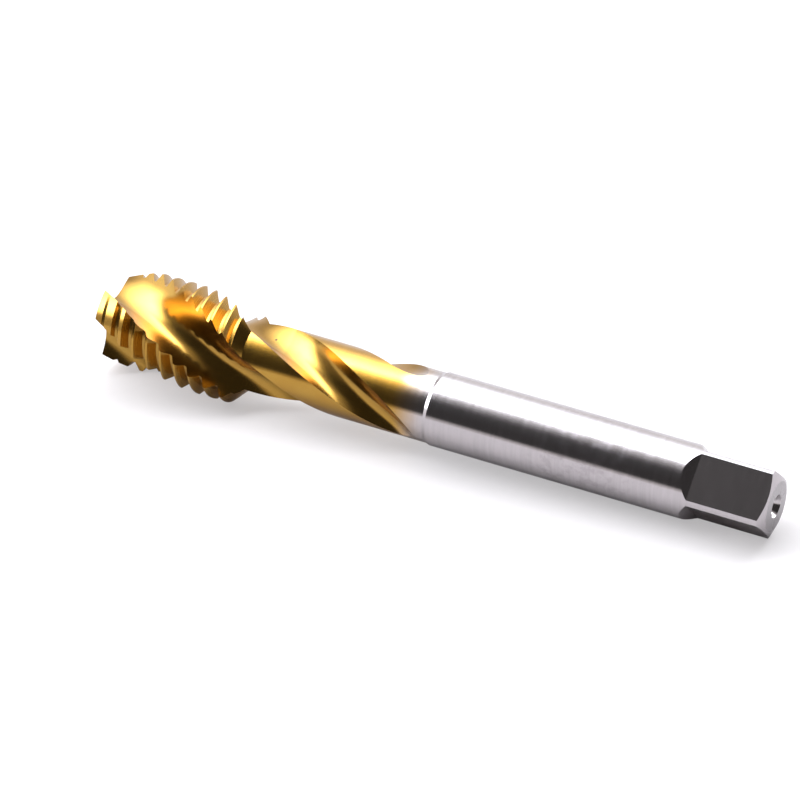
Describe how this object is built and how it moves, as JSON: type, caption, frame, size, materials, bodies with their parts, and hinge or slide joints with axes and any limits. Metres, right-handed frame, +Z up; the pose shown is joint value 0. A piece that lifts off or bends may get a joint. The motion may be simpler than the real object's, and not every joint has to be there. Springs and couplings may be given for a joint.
{
  "type": "thread tap",
  "caption": "Machine tap for cutting an M12 internal thread: fluted, threaded cutting end, relieved neck, round shank and a driving square.",
  "frame": {"origin": "middle of the tap's box, on the surface it lies on", "axes": "+X along the tap from the cutting tip to the driving square, +Z up; the axis dips 1.3 degrees towards the square, as the tap lies at rest"},
  "size_m": [0.0822, 0.012, 0.0119],
  "materials": {
    "tap": "ground high-speed steel, gold-coloured hard coating on the cutting end and neck"
  },
  "bodies": {
    "root": {"tap": "tap"}
  },
  "joints": []
}
